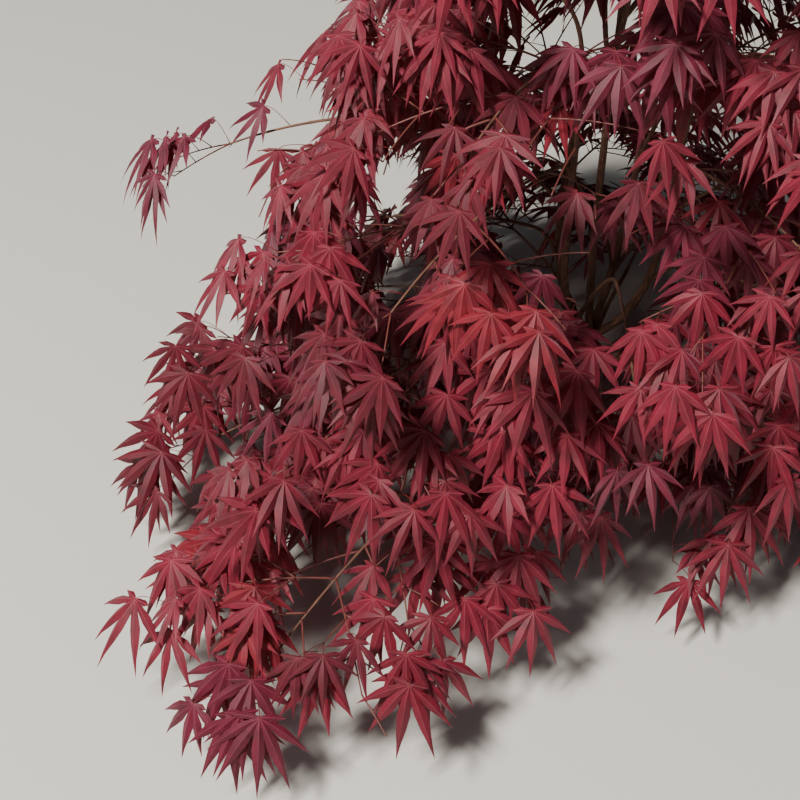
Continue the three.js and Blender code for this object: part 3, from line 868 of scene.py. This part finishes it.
def blades(base, along, normal, length, vary):
    """Leaves as points. Each lobe is a ridge that falls away from the leaf's normal by the square of the
    distance from its base, and off the ridge it falls evenly. All hang lower by the same square. `vary`
    holds numbers from -1 to 1 for each leaf: one a lobe for its length, its angle and its droop, and
    then one each for the outermost lobes, the width and the fold."""
    lobe, angle, reach, off, below = BLADE.T
    lobe = lobe.astype(int)
    cuts = (LOBES, 2 * LOBES, 3 * LOBES, 3 * LOBES + 1, 3 * LOBES + 2)
    lengths, angles, droops, outermost, width, fold = np.split(vary, cuts, axis=1)
    still = np.zeros((len(base), 1))
    longer = np.concatenate([1 + LENGTH_VARIES * lengths, still + 1], axis=1)
    longer[:, [0, LOBES - 1]] *= np.where(outermost > FULL_LOBES_FROM, 1, SHORTENED)
    turned = np.concatenate([np.radians(ANGLE_VARIES) * angles, still], axis=1)
    curve = np.concatenate([LOBE_DROOP + DROOP_VARIES * droops, still + LOBE_DROOP], axis=1)
    far = reach * longer[:, lobe]
    way = np.radians(angle) + turned[:, lobe] * np.minimum(1, reach / TURNED_BY)
    side = off * (1 + WIDTH_VARIES * width)
    flat = np.stack([
        far * np.cos(way) - side * np.sin(way),
        far * np.sin(way) + side * np.cos(way),
        -PLEAT * (1 + PLEAT_VARIES * fold) * below - curve[:, lobe] * far**2,
    ], axis=-1)
    axes = np.stack([along, unit(np.cross(normal, along)), normal], axis=1)
    placed = np.einsum("nvk,nkd->nvd", flat, axes)
    placed[..., 2] -= HANG * far**2
    return base[:, None, :] + placed * length[:, None, None]


def facing_at(point):
    """Leaves turn from straight outwards towards the light, least on the far side of the crown: what
    is left of the turn away from it grows by the square of that turn."""
    turn = turn_between(LIGHT_AZIMUTH, math.degrees(math.atan2(point[1], point[0])))
    return LIGHT_AZIMUTH + turn * part_way(NEAR_TURN, 1, (turn / 180) ** 2)


def leaf_tries(root, axis_azimuth, side, scale):
    """Ways to grow a leaf from a root by the source's rule, each turned another way: its points, its
    base and its middle line. Leaves near the ground hang less, to stay above it."""
    tries = LEAF_TRIES
    facing = facing_at(root) + growth.uniform(*FACING_SPAN, tries)
    sprout = axis_azimuth + side * (SPROUT_ANGLE + growth.uniform(*SPROUT_ANGLE_SPAN, tries))
    lift = LIFT + growth.uniform(*LIFT_SPAN, tries)
    stalk = heading(sprout, 0) * growth.uniform(*SPROUT_SPAN, (tries, 1))
    stalk = unit(stalk + heading(facing, 0) * FACING_PART + UP * lift[:, None])
    stalk_length = STALK_LENGTH * growth.uniform(*STALK_LENGTH_SPAN, tries)
    hanging = min(max(root[2] / LOW_ROOT, LOW_DROOP), 1)
    droop = (DROOP + growth.uniform(*DROOP_SPAN, tries)) * hanging
    roll = np.radians(growth.uniform(*ROLL_SPAN, tries))
    length = LEAF_LENGTH * scale * growth.uniform(*LEAF_LENGTH_SPAN, tries)
    along = heading(facing, -droop)
    level = unit(np.cross(UP, along))
    upright = np.cross(along, level)
    normal = upright * np.cos(roll)[:, None] + level * np.sin(roll)[:, None]
    base = root + stalk * stalk_length[:, None]
    vary = growth.uniform(-1, 1, (tries, 3 * LOBES + 3))
    return zip(blades(base, along, normal, length, vary), base, along)


def keeps_to_space(points):
    """Whether a leaf stays off the ground, near enough to the solids' box and out of the openings."""
    low, high = points.min(axis=0), points.max(axis=0)
    if low[2] < GROUND_CLEARANCE or (low < BOX_LOW - BOX_MARGIN).any():
        return False
    return not (high > BOX_HIGH + BOX_MARGIN).any() and not is_open(points)


def cell_of(point):
    """The cell of space that a point lies in, as three whole numbers."""
    return np.floor(point / CELL).astype(int)


def leaves_near(point):
    """The leaves that stand already in the cells round a point, as trees for overlap tests."""
    cell = cell_of(point)
    for shift in np.ndindex(3, 3, 3):
        yield from standing.get(tuple(cell + np.array(shift) - 1), ())


def grow_leaf(root, twig, side, scale, tint, tier_name):
    """Adds a leaf the first way that keeps to its space and touches nothing, if there is one."""
    for points, base, along in leaf_tries(root, twig.azimuth, side, scale):
        if not keeps_to_space(points):
            continue
        tree = BVHTree.FromPolygons(points.tolist(), BLADE_CORNERS)
        middle = points.mean(axis=0)
        if tree.overlap(wood_tree) or any(tree.overlap(other) for other in leaves_near(middle)):
            continue
        standing.setdefault(tuple(cell_of(middle)), []).append(tree)
        leaves.append(SimpleNamespace(
            points=points, root=root, base=base, along=along, tint=tint, tier_name=tier_name
        ))
        return


limb_walls = tube_faces(len(limbs), LIMB_ROWS, LIMB_SIDES)[0]
twig_walls = tube_faces(len(twigs), TWIG_ROWS, TWIG_SIDES)[0] + limb_points.size // 3
wood = np.concatenate([limb_points.reshape(-1, 3), twig_points.reshape(-1, 3)])
wood_tree = BVHTree.FromPolygons(wood.tolist(), np.concatenate([limb_walls, twig_walls]).tolist())
standing = {}
leaves = []
for limb in limbs:
    tier_name = limb.tier["name"]
    for spray in limb.sprays:
        tint = int(growth.integers(len(LEAF_TINTS)))
        if LEFT_AZIMUTHS[0] < limb.azimuth % 360 < LEFT_AZIMUTHS[1]:
            tint = LEFT_TINTS[tint // 2]
        for twig in spray:
            for place in ARM_PLACES if tier_name == "arm" else LEAF_PLACES[twig.order]:
                for side in (-1, 1):
                    if growth.random() > LEAF_CHANCE[tier_name]:
                        continue
                    root = point_at(twig.line, place - PAIR_STAGGER * (side > 0))
                    scale = LEAF_SCALE[tier_name] * (1 - OUTER_SHRINKING * place)
                    grow_leaf(root, twig, side, scale, tint, tier_name)


# A blade's finish: its ribs and veins, then its mottling, gloss, underside and glow.
RIB_WIDTHS = (0.012, 0.002)
RIB_END = 0.8
RIB_SHARE = 0.45
VEIN_SLANT = 1.3
VEIN_COUNT = 20.0
VEIN_WIDTH = 0.14
VEIN_SHARE = 0.13
VEIN_DEPTH = 0.5
MOTTLE_SCALE = 60.0
MOTTLE_RANGE = (0.35, 0.7)
MOTTLE_SHADE = 0.48
SKIN_SCALE = 1400.0
SKIN_DEPTH = 0.0005
SKIN_BUMP = 0.6
UNDERSIDE = colour(140, 80, 92)
UNDERSIDE_SHARE = 0.3
GLOW = colour(190, 30, 48)
GLOW_SHARE = 0.12
LEAF_GLOSS = {
    "Roughness": 0.5,
    "Specular IOR Level": 0.36,
    "Sheen Weight": 0.2,
    "Sheen Roughness": 0.4,
    "Sheen Tint": colour(255, 190, 215),
}


def leaf_veins():
    """A group that reads a blade's own places. The midrib narrows along its lobe, and the side veins
    run out from it on a slant, as often as a sawtooth along the lobe turns."""
    group = bpy.data.node_groups.new("leaf_veins", "ShaderNodeTree")
    spot = add_node(group, "ShaderNodeUVMap", uv_map="blade")
    parts = add_node(group, "ShaderNodeSeparateXYZ", {0: spot.outputs[0]})
    off = maths(group, "ABSOLUTE", parts.outputs[1])
    rib_width = ranged(group, parts.outputs[0], 0.0, RIB_END, *RIB_WIDTHS)
    midrib = ranged(group, off, 0.0, rib_width, 1.0, 0.0)
    slanted = maths(group, "SUBTRACT", parts.outputs[0], maths(group, "MULTIPLY", off, VEIN_SLANT))
    wave = maths(group, "FRACT", maths(group, "MULTIPLY", slanted, VEIN_COUNT))
    peak = maths(group, "ABSOLUTE", maths(group, "SUBTRACT", wave, 0.5))
    veins = ranged(group, peak, 0.0, VEIN_WIDTH, 1.0, 0.0)
    put_out(group, {"Midrib": midrib, "Side veins": veins})
    return group


LEAF_VEINS = leaf_veins()


def leaf_material(name, face, rib):
    """A leaf's finish: its tint with darker mottling, a pale midrib, faint side veins, a duller
    underside, and a red glow where light comes through."""
    material, tree, surface = new_material(name, LEAF_GLOSS)
    veins = add_node(tree, "ShaderNodeGroup", node_tree=LEAF_VEINS)
    place = add_node(tree, "ShaderNodeTexCoord").outputs["Object"]
    darker = tuple(part * MOTTLE_SHADE for part in face[:3]) + (1,)
    mottling = ranged(tree, noise(tree, place, MOTTLE_SCALE, 3.0), *MOTTLE_RANGE)
    plain = blend(tree, mottling, face, darker)
    veined = blend(tree, maths(tree, "MULTIPLY", veins.outputs["Side veins"], VEIN_SHARE), plain, rib)
    ribbed = blend(tree, maths(tree, "MULTIPLY", veins.outputs["Midrib"], RIB_SHARE), veined, rib)
    under = blend(tree, UNDERSIDE_SHARE, ribbed, UNDERSIDE)
    facing = add_node(tree, "ShaderNodeNewGeometry")
    both = blend(tree, facing.outputs["Backfacing"], ribbed, under)
    tree.links.new(both, surface.inputs["Base Color"])
    sunk = maths(tree, "MULTIPLY", veins.outputs["Side veins"], -VEIN_DEPTH)
    height = maths(tree, "ADD", sunk, noise(tree, place, SKIN_SCALE, 2.0))
    set_bump(tree, surface, height, SKIN_DEPTH, SKIN_BUMP)
    glow = add_node(tree, "ShaderNodeBsdfTranslucent", {"Color": GLOW})
    mixed = add_node(
        tree, "ShaderNodeMixShader", {0: GLOW_SHARE, 1: surface.outputs[0], 2: glow.outputs[0]}
    )
    tree.links.new(mixed.outputs[0], tree.nodes["Material Output"].inputs["Surface"])
    return material


LEAF_FINISHES = [
    leaf_material(f"leaf_{name}", colour(*face), colour(*rib))
    for name, (face, rib) in LEAF_TINTS.items()
]


def lay_leaves(name, own):
    """Leaves as one piece, creased along the midribs and down the valleys to the notches."""
    points = np.stack([leaf.points for leaf in own])
    firsts = np.arange(len(own))[:, None, None] * len(BLADE)
    faces = [
        (group[None, ..., 0].astype(int) + firsts).reshape(-1, group.shape[1]) for group in BLADE_FACES
    ]
    places = np.concatenate([
        np.tile(group[..., 1:].reshape(-1, 2), (len(own), 1)) for group in BLADE_FACES
    ])
    made = lay_mesh(name, points, faces, places, "blade", LEAF_FINISHES)
    tints = np.concatenate([
        np.repeat([leaf.tint for leaf in own], len(group)) for group in BLADE_FACES
    ])
    made.data.polygons.foreach_set("material_index", tints)
    ends = np.zeros(2 * len(made.data.edges), int)
    made.data.edges.foreach_get("vertices", ends)
    ends = ends.reshape(-1, 2) % len(BLADE)
    along_rib = ON_RIB[ends].all(axis=1)
    down_valley = (ends == 0).any(axis=1) & IN_NOTCH[ends].any(axis=1)
    crease = made.data.attributes.new("sharp_edge", "BOOLEAN", "EDGE")
    crease.data.foreach_set("value", along_rib | down_valley)
    return made


for tier in TIERS:
    own = [leaf for leaf in leaves if leaf.tier_name == tier["name"]]
    foliage = lay_leaves(f"{tier['name']}_leaves", own)
    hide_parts(*[f"{limb.name}_foliage" for limb in limbs if limb.tier is tier])

# Each stalk is the curve of three marks: its twig, a mark behind the leaf's base that bends it, and a
# point just inside the leaf. It is thickest at both ends.
STALK_ROWS = 7
STALK_SIDES = 4
STALK_RADIUS = 0.00045
STALK_THICKER = 0.5
STALK_BACK = 0.2
STALK_RISE = 0.05
STALK_OVERLAP = 0.0008
roots, bases, alongs = (
    np.stack([getattr(leaf, part) for leaf in leaves]) for part in ("root", "base", "along")
)
reach = np.linalg.norm(bases - roots, axis=1)[:, None]
bends = bases - alongs * reach * STALK_BACK + UP * STALK_RISE * reach
shares = np.linspace(0, 1, STALK_ROWS)[None, :, None]
stalk_lines = roots[:, None] * (1 - shares) ** 2 + 2 * bends[:, None] * shares * (1 - shares)
stalk_lines = stalk_lines + (bases + alongs * STALK_OVERLAP)[:, None] * shares**2
stalk_radii = STALK_RADIUS * (1 + STALK_THICKER * (2 * shares - 1) ** 4)
stalk_radii = np.broadcast_to(stalk_radii, (len(leaves), STALK_ROWS, STALK_SIDES))
stalk_sideways = np.cross(unit(bases - roots), UP)[:, None]
STALK_SKIN = bark_material(
    "stalk_skin", colour(84, 20, 26), colour(124, 42, 44), colour(140, 66, 58),
    (0.006, 0.0008), 0.45, 0.0001,
)
stalk_points = swept(stalk_lines, stalk_radii, STALK_SIDES, stalk_sideways)
stalks = lay_tubes("leaf_stalks", stalk_points, stalk_lines, stalk_radii, STALK_SKIN)


# Studio
# A plain pale floor, soft light from high on the left, and a camera that looks down at the low left side
# of the crown.

FLOOR_SIZE = 30
SKY_TINT = (0.86, 0.92, 1.0, 1)
SKY_STRENGTH = 0.1
CAMERA_PLACE = (-0.229, -1.477, 1.3585)
CAMERA_PITCH = 42
CAMERA_LENS = 74.25

floor_mesh = bpy.data.meshes.new("floor")
edge = FLOOR_SIZE / 2
floor_corners = [(-edge, -edge, 0), (edge, -edge, 0), (edge, edge, 0), (-edge, edge, 0)]
floor_mesh.from_pydata(floor_corners, [], [(0, 1, 2, 3)])
floor = bpy.data.objects.new("floor", floor_mesh)
bpy.context.scene.collection.objects.link(floor)
floor_mesh.materials.append(
    new_material("floor_paint", {"Base Color": colour(186, 184, 178), "Roughness": 0.9})[0]
)

world = bpy.data.worlds.new("studio")
world.use_nodes = True
sky = world.node_tree.nodes["Background"].inputs
sky["Color"].default_value = SKY_TINT
sky["Strength"].default_value = SKY_STRENGTH
bpy.context.scene.world = world


def soft_light(name, place, target, size, power, tint):
    """A square lamp that faces its target: tipped up from straight down, then turned to its azimuth."""
    lamp = bpy.data.lights.new(name, "AREA")
    lamp.size = size
    lamp.energy = power
    lamp.color = tint
    made = bpy.data.objects.new(name, lamp)
    made.location = place
    ahead, aside, up = np.array(target) - np.array(place)
    tip = math.atan2(math.hypot(ahead, aside), -up)
    made.rotation_euler = (tip, 0, math.atan2(aside, ahead) - math.pi / 2)
    bpy.context.scene.collection.objects.link(made)


soft_light("key", (-2.5, -2.5, 5.0), (-0.1, -0.1, 0.35), 0.9, 860, (1, 0.96, 0.9))
soft_light("fill", (1.2, -2.6, 2.2), (0, 0, 0.4), 2.0, 9, (0.9, 0.95, 1))

camera = bpy.data.objects.new("camera", bpy.data.cameras.new("camera"))
camera.location = CAMERA_PLACE
camera.rotation_euler = (math.radians(90 - CAMERA_PITCH), 0, 0)
camera.data.lens = CAMERA_LENS
bpy.context.scene.collection.objects.link(camera)
bpy.context.scene.camera = camera
